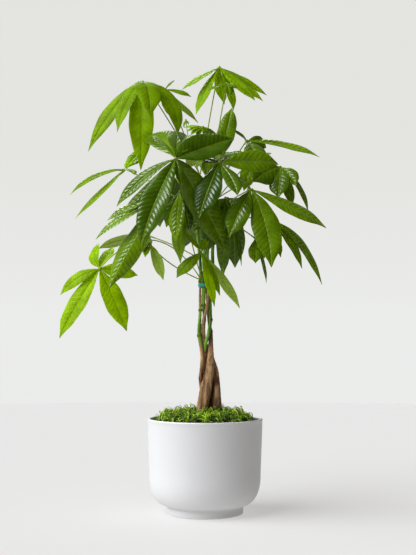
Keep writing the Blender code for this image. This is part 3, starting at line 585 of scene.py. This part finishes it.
# Each leaf: its stem and the height it grows from, where its petiole bends, its hub, which way its
# upper side faces, and leaflets (dx, dy, dz, width), then arch and roll in degrees where they differ.
leaves = {
    "leaf_top_left": ("stem_centre", 466, None, (-93, 30, 631), (0, -0.35, 1), [
        (-79, -15, -109, 28, 0.10, -20), (-34, -40, -85, 26, 0.07, 5), (-1, -20, -138, 38, 0.10, 10),
        (15, -55, -68, 38, 0.12, -5), (52, -20, -87, 29, 0.10, 10), (83, 25, -58, 22, 0.04, -30),
        (-5, 60, -80, 30, 0.08)]),
    "leaf_top_left_back": ("stem_centre", 454, None, (-62, 75, 630), (0, -0.1, 1), [
        (15, 10, 17, 7, 0.02, 10), (41, 0, -12, 14, 0.05, 35), (-28, 45, -25, 22), (10, 55, -35, 24),
        (-35, 15, -20, 20)]),
    "leaf_top": ("stem_back_left", 466, None, (21, 5, 646), (0, -0.2, 1), [
        (-55, -18, -39, 20, 0.01, -10), (-34, -28, -77, 22, 0.07, 5), (7, -22, -61, 22, 0.05, -30),
        (20, -12, -68, 20, 0.07, -10), (71, 22, -37, 24, 0.01, 30), (64, 0, -51, 24, 0.01, 25),
        (51, -25, -56, 26, 0.01, 15)]),
    "leaf_top_young": ("stem_right", 470, None, (31, -45, 609), (0, -0.4, 1), [
        (-27, -5, -12, 12, 0.03, -5), (3, -15, -22, 14), (13, -12, -11, 14)]),
    "leaf_young": ("stem_right", 472, None, (-3, -22, 552), (0, -0.5, 1), [
        (-27, -10, -4, 13), (-23, -16, -11, 10), (-17, -18, -16, 9), (-9, -14, -18, 8), (7, 8, -2, 8)]),
    "leaf_bud": ("stem_back_left", 462, None, (-28, 0, 567), (0, 0, 1), [
        (-3, -4, -13, 5), (4, -6, -9, 4)]),
    "leaf_front": ("stem_right", 436, (-25, -60, 466), (-40, -90, 494), (0, -1, 1), [
        (-43, 80, 46, 46, 0.05, -5), (14, 90, 49, 44, 0.05, 10), (82, 60, 38, 46, 0.08, 15),
        (-81, 5, -66, 24, 0.10, 5), (-73, 28, -67, 24, 0.10, 5), (-45, -35, -124, 38, 0.07),
        (70, 50, -128, 46, 0.05, 15), (8, -8, -38, 12)]),
    "leaf_front_low": ("stem_back_right", 340, (-17, -32, 371), (-35, -60, 453), (0, -0.6, 1), [
        (-5, -25, -73, 26, 0.05, 30), (1, 0, -101, 26, 0.05, 35), (14, 10, -56, 20), (-19, 0, -51, 20),
        (10, 45, -40, 22)]),
    "leaf_front_right": ("stem_left", 448, None, (20, -55, 494), (0, -0.8, 1), [
        (84, 15, 0, 32, 0.03, 40), (-28, -38, -83, 40, 0.05, 10), (24, -40, -52, 24, 0.05, -5),
        (-23, 20, 8, 16, 0.02), (30, 50, 10, 26)]),
    "leaf_right": ("stem_left", 432, None, (65, -60, 456), (0, -0.6, 1), [
        (-32, -25, -70, 32, 0.05, -10), (25, -30, -112, 40, 0.07, 5), (104, 0, -55, 30, 0.02, 10),
        (-30, 25, 26, 20, 0.02, 20), (-6, 50, -12, 22, 0.05, -90)]),
    "leaf_left": ("stem_back_left", 436, None, (-117, 5, 495), (0, -0.2, 1), [
        (-79, -5, -39, 18, 0.10, -20), (-70, -15, -75, 20, 0.02, -10), (30, 55, 41, 24),
        (18, 45, 21, 22, 0.05, 5), (18, -50, -17, 16, 0.05, -10)]),
    "leaf_low_left": ("stem_back_right", 337, (-72, -26, 434), (-148, -45, 346), (0, -0.7, 1), [
        (-6, 45, 40, 22, 0.05, -45), (14, 45, 34, 20, 0.05, -15), (53, 15, -9, 28, 0.02, 15),
        (-55, 5, -37, 22, 0.10, -15), (-53, -15, -98, 30, 0.03), (40, -15, -88, 32, 0.02)]),
    "leaf_mid_left": ("stem_back_left", 401, None, (-62, -55, 441), (0, -0.3, 1), [
        (-75, 5, -28, 24, 0.05, -25), (-90, -5, -56, 25, 0.07, -10), (-64, 25, -19, 18, 0.05, -15),
        (-71, -15, -126, 34, 0.02, -30), (-20, 60, -45, 26)]),
    "leaf_small_low": ("stem_back_right", 333, (-58, -26, 353), (-78, -45, 382), (0, -0.5, 1), [
        (20, -5, -53, 18, 0.05, -120), (-5, -20, -22, 9), (-19, 5, -10, 10)]),
    "leaf_low_centre": ("stem_right", 348, (-5, -30, 370), (-5, -50, 369), (0, -0.5, 1), [
        (-34, -25, -38, 24), (18, -25, -78, 16, 0.03, -20), (26, -2, -62, 16, 0.03, -10),
        (54, 10, -79, 22, 0.03, -70), (-26, 0, 29, 12, 0.02), (6, 0, 18, 14)]),
    "leaf_low_right": ("stem_left", 421, None, (92, -30, 417), (0, -0.4, 1), [
        (45, -5, -71, 22), (75, 10, -93, 22, 0.10, 10), (14, -20, -56, 20, 0.05, -25),
        (-18, 40, -45, 22, 0.05, -70)]),
    "leaf_small_right": ("stem_left", 426, None, (70, -50, 388), (0, -0.5, 1), [
        (0, -12, -36, 20), (15, -8, -64, 12, 0.05, -40), (12, 30, -30, 18)]),
    "leaf_upper_right": ("stem_centre", 458, None, (62, 20, 540), (0, -0.3, 1), [
        (107, 0, -25, 22, 0.05, 20), (-20, 15, 20, 12, 0.02, 5), (18, -40, -47, 32, 0.05, 10),
        (29, 12, -9, 26, 0.05, 55)]),
    "leaf_right_back": ("stem_centre", 444, None, (76, 35, 520), (0, -0.2, 1), [
        (-19, -20, -56, 24, 0.05, -35), (35, 20, -40, 24), (20, 60, 10, 26)]),
    "leaf_upper_front": ("stem_right", 464, None, (24, -6, 513), (0, -0.6, 1), [
        (16, 55, 82, 28), (33, -10, 2, 18), (-27, 8, 44, 26), (-10, 4, -32, 16)]),
    "leaf_far_right": ("stem_left", 452, None, (109, -5, 497), (0, -0.3, 1), [
        (-40, -22, -26, 40, 0.05, -50), (-5, -30, -50, 30, 0.05, 15), (16, -15, -61, 18, 0.05, 5),
        (41, 8, -67, 14, 0.03, 20), (21, -25, -32, 24, 0.05, 30), (10, 50, -20, 24)]),
    "leaf_inner_right": ("stem_left", 396, None, (29, -40, 447), (0, -0.6, 1), [
        (-47, 15, -47, 36, 0.05, -25), (-26, 20, -75, 40, 0.05, -15), (-3, 35, -111, 26, 0.05, 30),
        (14, 30, -98, 34, 0.05, 15), (22, -10, -98, 12, 0.05, -35), (-10, 20, -44, 18)]),
    "leaf_inner": ("stem_centre", 466, None, (4, 30, 530), (0, 0.2, 1), [
        (-2, -20, -48, 16), (10, -15, -50, 20), (-16, -18, -34, 18), (-30, 60, -20, 28),
        (25, 65, -25, 28), (0, 75, -30, 28)]),
    "leaf_back_low_left": ("stem_back_left", 366, None, (-81, 25, 398), (0, 0.2, 1), [
        (-77, 5, -18, 22, 0.05, 25), (-50, 50, -35, 24), (-22, 60, -22, 26)]),
    "leaf_back_left": ("stem_back_left", 426, None, (-45, 95, 496), (0, 0.4, 1), [
        (-35, 30, -50, 30), (-10, 45, -75, 32), (25, 40, -60, 30), (30, -10, -35, 26),
        (-30, -15, -25, 26)]),
    "leaf_back_right": ("stem_centre", 426, None, (35, 100, 466), (0, 0.4, 1), [
        (38, 30, -20, 30), (5, 45, -65, 34), (-30, 30, -50, 30), (25, -5, -35, 26)]),
    "leaf_back_low": ("stem_centre", 394, None, (-15, 90, 426), (0, 0.4, 1), [
        (-25, 40, -40, 28), (15, 50, -40, 30), (-35, 10, -10, 26)]),
    "leaf_back_far_left": ("stem_back_left", 416, None, (-85, 60, 466), (0, 0.3, 1), [
        (-15, 50, -30, 28), (15, 50, -45, 28), (25, 40, -10, 26)]),
    "leaf_back_upper": ("stem_centre", 448, None, (48, 80, 534), (0, 0.3, 1), [
        (26, 35, -8, 26), (-2, 42, -14, 28), (-28, 30, -10, 24)]),
}
# How young each leaf is, 0 dark and grown and 1 bright and fresh, with painted light on top: leaves
# that stand in the light or glow with light through them are set brighter, those in shade darker.
leafAgeAndLight = {
    "leaf_top_left": 0.8, "leaf_top_left_back": 0.6, "leaf_top": 0.95, "leaf_top_young": 0.5,
    "leaf_young": 0.95, "leaf_bud": 0.9, "leaf_front": 0.1, "leaf_front_low": 0.12,
    "leaf_front_right": 0.22, "leaf_right": 0.32, "leaf_left": 0.7, "leaf_low_left": 1.0,
    "leaf_mid_left": 0.35, "leaf_small_low": 0.55, "leaf_low_centre": 0.65, "leaf_low_right": 0.6,
    "leaf_small_right": 0.35, "leaf_upper_right": 0.35, "leaf_right_back": 0.9,
    "leaf_upper_front": 0.35, "leaf_far_right": 0.3, "leaf_inner_right": 0.2, "leaf_inner": 0.9,
    "leaf_back_low_left": 0.4, "leaf_back_left": 0.08, "leaf_back_right": 0.1, "leaf_back_low": 0.12,
    "leaf_back_far_left": 0.15, "leaf_back_upper": 0.4,
}
# The leaves that are still soft and let more light through. The rest are glossy.
youngLeaves = (
    "leaf_top_left", "leaf_top_left_back", "leaf_top", "leaf_top_young", "leaf_young", "leaf_bud",
    "leaf_left", "leaf_low_left", "leaf_small_low", "leaf_low_centre",
)
# Leaflets with a form of their own. In place of the arch, bend is how far the middle stands off the
# straight line, in mm. Tone and quilt are on top of the leaf's own, fold is how steeply the halves rise
# from the midrib, and a lower full makes the blade broader near its base. Tone here is partly the
# leaflet's own colour and partly painted light and shade: raised where a leaflet is lit or light
# shines through it, lowered where it lies in shade.
leafletForms = {
    ("leaf_top_left", 0): {"bend": (-3, 0, 10), "full": 0.9},
    ("leaf_top_left", 1): {"bend": (-5, 0, 6), "full": 0.8},
    ("leaf_top_left", 2): {"bend": (0, -14, 6), "full": 0.8},
    ("leaf_top_left", 3): {"bend": (2, -6, 12), "full": 0.65},
    ("leaf_top_left", 4): {"bend": (15, 0, 10), "full": 0.8}, ("leaf_top_left", 5): {"tone": 0.7},
    ("leaf_top", 1): {"bend": (-3, 0, 1)}, ("leaf_top", 2): {"bend": (-3, 0, 0)},
    ("leaf_top", 3): {"bend": (4, 0, 2)}, ("leaf_top", 6): {"tone": 0.35},
    ("leaf_front", 0): {"bend": (4, 6, 8), "tone": 0.22, "quilt": 1.6, "fold": 0.3},
    ("leaf_front", 1): {"tone": 0.2, "quilt": 1.9, "fold": 0.45},
    ("leaf_front", 2): {"bend": (-2, 6, 1), "fold": 0.35, "full": 0.75},
    ("leaf_front", 3): {"bend": (-3, 0, 6), "tone": 0.12},
    ("leaf_front", 4): {"bend": (3, 0, -2), "tone": 0.12},
    ("leaf_front", 5): {"quilt": 1.3, "fold": 0.42, "full": 1.1},
    ("leaf_front", 6): {"bend": (2, 10, 4), "tone": 0.2, "fold": 0.2, "full": 0.85},
    # Its raised tone is painted light: this leaflet stands in the light.
    ("leaf_front_low", 0): {"tone": 0.4, "quilt": 1.6, "fold": 0.3},
    ("leaf_front_low", 1): {"tone": 0.25, "quilt": 1.5, "fold": 0.45},
    ("leaf_front_low", 2): {"tone": -0.1}, ("leaf_front_low", 4): {"tone": -0.1},
    ("leaf_front_right", 0): {"tone": 0.12, "quilt": 1.5, "fold": 0.3},
    # Its lowered tone is painted shade: this leaflet lies under leaf_front.
    ("leaf_front_right", 1): {"tone": -0.25, "fold": 0.2},
    ("leaf_front_right", 2): {"bend": (4, 0, 0)}, ("leaf_right", 0): {"tone": -0.12},
    ("leaf_right", 1): {"bend": (5, 0, 5)}, ("leaf_left", 0): {"bend": (-2, 0, 8)},
    ("leaf_left", 1): {"bend": (0, 0, 0)}, ("leaf_left", 2): {"tone": 1.0},
    ("leaf_left", 3): {"tone": 0.9}, ("leaf_low_left", 0): {"bend": (-7, 0, 0)},
    ("leaf_low_left", 1): {"bend": (-1, 0, 0)}, ("leaf_low_left", 2): {"full": 0.9},
    ("leaf_low_left", 3): {"full": 1.0}, ("leaf_low_left", 4): {"full": 1.0},
    ("leaf_low_left", 5): {"full": 1.0},
    ("leaf_mid_left", 3): {"bend": (-2, 0, 4), "quilt": 1.6, "fold": -0.25},
    ("leaf_small_low", 0): {"tone": 0.7}, ("leaf_low_centre", 1): {"tone": 0.95},
    ("leaf_low_centre", 3): {"tone": 0.8}, ("leaf_low_right", 0): {"bend": (5, 0, 5)},
    ("leaf_low_right", 1): {"bend": (4, 0, 14)}, ("leaf_low_right", 2): {"bend": (0, 0, 0)},
    ("leaf_small_right", 1): {"bend": (3, 0, 0)},
    ("leaf_upper_right", 0): {"bend": (0, 0, 5), "tone": 0.35, "quilt": 1.4},
    # Its high tone is painted light, for the glow of light shining through it.
    ("leaf_right_back", 0): {"tone": 1.6},
    ("leaf_upper_front", 0): {"bend": (0, 0, 0), "tone": 0.12, "full": 0.8},
    ("leaf_far_right", 0): {"tone": -0.05}, ("leaf_far_right", 3): {"bend": (7, 0, 4)},
    ("leaf_far_right", 4): {"tone": -0.05}, ("leaf_inner_right", 0): {"tone": -0.1},
    ("leaf_inner_right", 1): {"tone": -0.1}, ("leaf_inner_right", 3): {"bend": (4, 0, 0)},
    ("leaf_inner_right", 4): {"bend": (4, 0, 0)}, ("leaf_back_low_left", 0): {"tone": 0.75},
}


# The spine is a cubic from base to tip that rises by its arch or bend, sways in an S and drops at the
# tip. The blade is rolled about it and twists along it.
def leafletSpine(t, base, tip, up, arch, roll, rng, form):
    along = tip - base
    length = np.linalg.norm(along)
    forward = along / length
    normal = unit(up - forward * (up @ forward))
    lift = np.array(form["bend"]) * mm if "bend" in form else normal * arch * length
    lift = lift * 1.33  # a cubic's middle stands off three quarters of what its handles do
    sway = np.cross(forward, normal) * rng.normal(0, 0.010) * length
    p1, p2 = base + along * 0.33 + lift + sway, base + along * 0.67 + lift - sway
    k = t[:, None]
    spine = base * (1 - k) ** 3 + p1 * 3 * k * (1 - k) ** 2 + p2 * 3 * k ** 2 * (1 - k) + tip * k ** 3
    droop = ease(k, 0.7, 1.15) ** 2 - ease(1, 0.7, 1.15) ** 2 * k
    spine = spine - np.array([0, 0, 0.035]) * length * droop
    tangent = unit(np.gradient(spine, axis=0))
    across = unit(np.cross(tangent, normal))
    above = np.cross(across, tangent)
    turn = np.radians(roll + rng.normal(0, 6) * (t - 0.4))[:, None]
    return (spine, across * np.cos(turn) - above * np.sin(turn),
            above * np.cos(turn) + across * np.sin(turn))


# A leaflet is a thin closed skin over (across, along). Its half width is t^full (1 - t)^tipPower,
# narrowed to a drawn-out tip; its margins hang, its midrib is a groove, and between side veins that
# lean towards the tip it bulges by half waves.
def addLeaflet(shape, base, tip, up, width, arch, roll, rng, tone, form):
    v = leafValues
    length = np.linalg.norm(tip - base)
    rows = max(18, int(length / v["rowStep"]))
    t = (1 - np.cos(np.linspace(0.02, 0.985, rows) * math.pi)) / 2
    t = 0.35 * t + 0.65 * np.linspace(0.004, 0.996, rows)
    spine, across, above = leafletSpine(t, base, tip, up, arch, roll, rng, form)

    full = form.get("full", v["full"])
    widest = full / (full + v["tipPower"])
    peak = widest ** full * (1 - widest) ** v["tipPower"]
    half = 0.5 * width * t ** full * (1 - t) ** v["tipPower"] / peak
    half = half * (1 - 0.35 * ease(t, 0.80, 0.97)) * (1 + 0.02 * np.sin(t * 21 + rng.random() * 6))
    stalk = 0.0009 * (1 - ease(t, 0.02, 0.16))
    half = np.maximum(half, stalk + 0.0002)[:, None]

    u = np.array([0, 0.05, 0.12, 0.22, 0.34, 0.47, 0.60, 0.73, 0.85, 0.94, 0.985, 1.0])
    u = np.concatenate([-u[:0:-1], u])
    far, left = np.abs(u), u < 0
    reach = half * far
    vein = (t[:, None] * length - v["veinLean"] * reach - 9 * reach ** 2) / v["veinStep"] + 0.45 * left
    swell = np.abs(np.sin(math.pi * vein)) ** 0.6 * np.sin(np.clip(far * 1.04, 0, 1) * math.pi) ** 0.7
    swell = swell * np.clip(half / 0.009, 0, 1) * ease(t, 0.03, 0.15)[:, None]
    fold = form.get("fold", rng.uniform(0.10, 0.26))
    profile = half * (fold * far - 0.20 * far ** 2.6)
    groove = 0.00042 * np.exp(-(reach / 0.0008) ** 2) * (1 - ease(t, 0.75, 1))[:, None]
    wave = rng.uniform(0.02, 0.055) * half * far ** 3
    wave = wave * np.sin(t[:, None] * rng.uniform(9, 16) + rng.random() * 6 + 1.7 * left)
    quilt = v["quilt"] * form.get("quilt", 1) * (1 - 0.55 * min(tone, 1))  # young leaves are smoother
    rise = profile + quilt * swell - groove + wave
    top = spine[:, None] + across[:, None] * (u * half)[..., None] + above[:, None] * rise[..., None]

    rib = 0.00075 * np.exp(-(reach / 0.0007) ** 2) * (1 - t[:, None]) ** 0.7
    thick = v["thickness"] * (1 - 0.55 * far ** 4) + rib
    thick = thick + 1.5 * stalk[:, None] * np.sqrt(np.clip(1 - u ** 2, 0, 1))
    thick = thick * np.clip((1 - far) * 40, 0.25, 1)
    under = top - above[:, None] * thick[..., None]
    grid = np.concatenate([top, under[:, -2:0:-1]], 1)
    cols = len(u)
    both = np.concatenate([np.arange(cols), np.arange(cols - 2, 0, -1)])  # over the top and back below
    addSkin(shape, grid, {
        "across": u[both][None], "ribWide": np.clip(reach[:, both] / 0.001, 0, 5), "vein": vein[:, both],
        "under": (np.arange(len(both)) >= cols)[None], "tone": tone, "aged": 0,
    })


# The petiole's middle line is a quadratic from inside its stem to the hub, bending once on the way.
def petiolePath(stem, height, bend, hub):
    knots = np.array(stems[stem])
    x, y, radius = (np.interp(height, knots[:, 2], knots[:, i]) for i in (0, 1, 3))
    centre = np.array([x, y, height]) * mm
    aim = np.array(bend) * mm if bend else hub
    outward = unit(np.array([aim[0] - centre[0], aim[1] - centre[1], 0]))
    foot = centre + outward * (radius * mm + 0.0016)
    middle = aim if bend else (foot + hub) / 2 + [0, 0, 0.06 * np.linalg.norm(hub - foot)]
    t = np.linspace(0, 1, 34)[:, None]
    path = foot * (1 - t) ** 2 + middle * 2 * t * (1 - t) + hub * t ** 2
    root = centre + outward * radius * mm * 0.4 - [0, 0, 0.0015]
    return np.concatenate([[root], path])


# Adds a petiole, swollen at both ends, and the small hub on it.
def addStalk(shape, path, size, tone):
    v = leafValues
    hub = path[-1]
    fromFoot = np.concatenate([[0], np.cumsum(np.linalg.norm(np.diff(path, axis=0), axis=1))])
    fromHub = fromFoot[-1] - fromFoot
    radius = size * (v["petiole"] + 0.0007 * np.exp(-(fromFoot / 0.004) ** 2)
                     + 0.00055 * np.exp(-(fromHub / 0.006) ** 2))
    plain = {"across": 0, "ribWide": 0, "vein": 0, "under": 0, "tone": tone}
    grid = tubeGrid(path, radius, 12, (0.31, 0.93, 0.21))
    addSkin(shape, grid, {**plain, "aged": np.exp(-fromFoot / 0.05)[:, None]}, 1)
    lat = np.linspace(0.06, math.pi - 0.06, 9)[:, None]
    lon = np.arange(14) / 14 * 2 * math.pi
    ball = np.stack([np.sin(lat) * np.cos(lon), np.sin(lat) * np.sin(lon), np.cos(lat) + 0 * lon], -1)
    addSkin(shape, hub + ball * [1, 1, 0.7] * v["hub"] * size, {**plain, "aged": 0}, 1)


# Paler side veins, margin and midrib on a patchy blade, with a matte underside.
def leafBlade(name):
    v = leafValues
    gloss, shine, glow = v[name]
    n = Nodes(name)
    tone, isUnder = n.attribute("tone"), n.attribute("under")
    patch = n.noise(55, 3)
    across = n.maths("ABSOLUTE", n.attribute("across"))
    away = n.maths("ABSOLUTE", n.maths("SUBTRACT", n.maths("FRACT", n.attribute("vein")), 0.5))
    fine = n.maths("MULTIPLY", n.span(away, 0.40, 0.50), n.span(across, 0.98, 0.6))  # 1 on a side vein
    netting = n.span(n.noise(1500, 2), 0.45, 0.6)
    rib = n.maths("SUBTRACT", 1.0, n.span(n.attribute("ribWide"), 0.35, 1.0))
    # Tone picks between the dark and bright colours: partly the leaf's age, partly painted light and
    # shade.
    top = n.mix(tone, v["darkTop"], v["brightTop"])
    lighter = n.mix(1.0, top, (1.7, 1.45, 1.6), "MULTIPLY")
    top = n.mix(n.maths("MULTIPLY", fine, 0.5), top, lighter)
    top = n.mix(n.maths("MULTIPLY", n.span(across, 0.93, 1.0), 0.5), top, lighter)
    top = n.shade(top, n.span(patch, 0.3, 0.7, 0.80, 1.15))
    under = n.mix(tone, v["darkUnder"], v["brightUnder"])
    under = n.mix(n.maths("MULTIPLY", fine, 0.45), under, times(v["darkUnder"], 1.5))
    colour = n.mix(isUnder, top, under)
    ribTone = n.mix(tone, v["midrib"], times(v["brightTop"], 0.72))
    ribShare = n.maths("MULTIPLY_ADD", tone, -0.35, 0.8)
    colour = n.mix(n.maths("MULTIPLY", rib, ribShare), colour, ribTone)
    rough = n.span(patch, 0.3, 0.7, gloss - 0.04, gloss + 0.05)
    rough = n.maths("ADD", rough, n.maths("MULTIPLY", isUnder, 0.22))
    sunken = n.maths("POWER", n.maths("MULTIPLY", away, 2.0), 3.0)
    height = n.maths("SUBTRACT", n.maths("MULTIPLY", netting, 0.02), sunken)
    n.finish(colour, rough, n.bump(height, 0.6, 0.0004))
    n.feed(n.shader.inputs["Specular IOR Level"], shine)
    n.letThrough(glow, n.mix(1.0, colour, (2.0, 1.6, 0.5), "MULTIPLY"))
    return n.material


def petioleSkin():
    v = leafValues
    n = Nodes("petioleSkin")
    spots = n.span(n.noise(240, 3, n.place((1, 1, 0.4))), 0.4, 0.7)
    young = n.mix(n.attribute("tone"), v["stalk"], times(v["stalk"], 1.35))
    aged = n.mix(n.maths("MULTIPLY", spots, 0.6), young, v["stalkAged"])
    n.finish(n.mix(n.attribute("aged"), young, aged), n.span(spots, 0, 1, 0.38, 0.5),
             n.bump(spots, 0.2, 0.0002))
    return n.material


# A leaf is a petiole with a hub and a fan of leaflets.
def makeLeaves():
    v = leafValues
    blades = {"leaf_young_green": leafBlade("youngBlade"), "leaf_dark_green": leafBlade("grownBlade")}
    skin = petioleSkin()
    for index, (name, (stem, height, bend, hub, up, leaflets)) in enumerate(leaves.items()):
        rng = np.random.default_rng(v["seed"] + index)
        tone, size = leafAgeAndLight[name], v["small"].get(name, 1)
        hub, up = np.array(hub) * mm, unit(np.array(up, float))
        shape = newShape()
        addStalk(shape, petiolePath(stem, height, bend, hub), size, tone)
        for i, (dx, dy, dz, width, *rest) in enumerate(leaflets):
            arch, roll = (*rest, 0)[:2] if rest else (v["arch"], 0)
            tip = hub + np.array([dx, dy, dz]) * mm
            base = hub + unit(tip - hub) * v["hub"] * size * 0.6
            form = leafletForms.get((name, i), {})
            ownTone = tone + form.get("tone", rng.normal(0, 0.05))
            addLeaflet(shape, base, tip, up, width * mm, arch, roll, rng, ownTone, form)
        slot = "leaf_young_green" if name in youngLeaves else "leaf_dark_green"
        standFor(makePiece(name.replace("leaf", "foliage"), shape, [blades[slot], skin]), name)


# stage, light and camera
stageValues = {
    "floorRadius": 2.4, "floor": (0.35, 0.347, 0.342), "glowTint": (1.0, 0.99, 0.975), "glow": 0.46,
    "wallHigh": (0.776, 0.776, 0.745), "wallLow": (0.830, 0.840, 0.830), "wallGleam": (0.36, 0.38, 0.38),
    "fillLeft": (0.185, 0.182, 0.176), "fillRight": (0.045, 0.035, 0.029),
    "sun": 4.3, "sunFrom": (-0.69, -0.28, 0.67), "sunSpan": 62, "sunTint": (0.975, 0.99, 1.03),
    "gleams": ((4.0, (-0.62, -0.30, 0.72)), (1.6, (-0.15, 0.77, 0.62))), "gleamSpan": 26,
    "cameraPlace": (0, -1.45, 0.2516), "cameraTurn": (93.33, 0, -0.17), "lens": 65.19, "filmWidth": 36,
}


# A round floor that glows a little, so that it is as pale as the wall and shadows on it stay soft.
def makeFloor():
    v = stageValues
    mesh = bpy.data.meshes.new("paleFloor")
    angle = np.arange(128) / 128 * 2 * math.pi
    edge = np.column_stack([np.cos(angle), np.sin(angle), 0 * angle]) * v["floorRadius"]
    mesh.from_pydata(edge.tolist(), [], [tuple(range(len(edge)))])
    n = Nodes("paleFloorFinish")
    n.finish(n.mix(n.span(n.noise(6, 2), 0.3, 0.7), v["floor"], times(v["floor"], 0.985)), 0.6)
    n.feed(n.shader.inputs["Specular IOR Level"], 0.0)
    n.feed(n.shader.inputs["Emission Color"], v["glowTint"])
    n.feed(n.shader.inputs["Emission Strength"], v["glow"])
    mesh.materials.append(n.material)
    floor = bpy.data.objects.new("paleFloor", mesh)
    bpy.context.scene.collection.objects.link(floor)


# The room: a soft fill that is weaker on the right, a wall behind that is a little paler low down, and
# the gleam of that wall on whatever reflects it.
def makeRoom():
    v = stageValues
    world = bpy.data.worlds.new("studio")
    world.use_nodes = True
    tree = world.node_tree
    toward = tree.nodes.new("ShaderNodeSeparateXYZ")
    tree.links.new(tree.nodes.new("ShaderNodeTexCoord").outputs["Generated"], toward.inputs[0])
    ray = tree.nodes.new("ShaderNodeLightPath")

    def blend(share, low, high, first, second):
        span, mixed = tree.nodes.new("ShaderNodeMapRange"), tree.nodes.new("ShaderNodeMix")
        span.inputs["From Min"].default_value, span.inputs["From Max"].default_value = low, high
        tree.links.new(share, span.inputs["Value"])
        tree.links.new(span.outputs[0], mixed.inputs[0])
        mixed.data_type = "RGBA"
        for socket, value in ((mixed.inputs[6], first), (mixed.inputs[7], second)):
            if isinstance(value, tuple):
                socket.default_value = (*value, 1)
            else:
                tree.links.new(value, socket)
        return mixed.outputs[2]

    fill = blend(toward.outputs["X"], -0.6, 0.6, v["fillLeft"], v["fillRight"])
    gleaming = blend(toward.outputs["Y"], 0.0, 0.5, fill, v["wallGleam"])
    lit = blend(ray.outputs["Is Glossy Ray"], 0, 1, fill, gleaming)
    wall = blend(toward.outputs["Z"], 0.02, 0.18, v["wallLow"], v["wallHigh"])
    tree.links.new(blend(ray.outputs["Is Camera Ray"], 0, 1, lit, wall),
                   tree.nodes["Background"].inputs["Color"])
    bpy.context.scene.world = world


def addSun(name, strength, span, direction):
    sun = bpy.data.objects.new(name, bpy.data.lights.new(name, "SUN"))
    sun.data.energy = strength
    sun.data.angle = math.radians(span)
    sun.rotation_euler = Vector(direction).to_track_quat("Z", "Y").to_euler()
    bpy.context.scene.collection.objects.link(sun)
    return sun


# Soft light from a window on the left. The windows' gleam on glossy leaves is narrower than that.
def makeLights():
    v = stageValues
    sun = addSun("windowLight", v["sun"], v["sunSpan"], v["sunFrom"])
    sun.data.color = v["sunTint"]
    sun.visible_glossy = False
    for strength, direction in v["gleams"]:
        gleam = addSun("windowGleam", strength, v["gleamSpan"], direction)
        gleam.visible_diffuse = False
        gleam.visible_transmission = False


def makeCamera():
    v = stageValues
    camera = bpy.data.objects.new("camera", bpy.data.cameras.new("camera"))
    camera.location = v["cameraPlace"]
    camera.rotation_euler = [math.radians(turn) for turn in v["cameraTurn"]]
    camera.data.lens = v["lens"]
    camera.data.sensor_width = v["filmWidth"]
    bpy.context.scene.collection.objects.link(camera)
    bpy.context.scene.camera = camera
    bpy.context.scene.view_settings.view_transform = "Standard"


print("stage")
makeFloor()
makeRoom()
makeLights()
makeCamera()
print("pot and soil")
makePot()
finishSoil()
print("moss")
makeMoss()
print("stems and tie")
makeStems()
makeTie()
print("leaves")
makeLeaves()
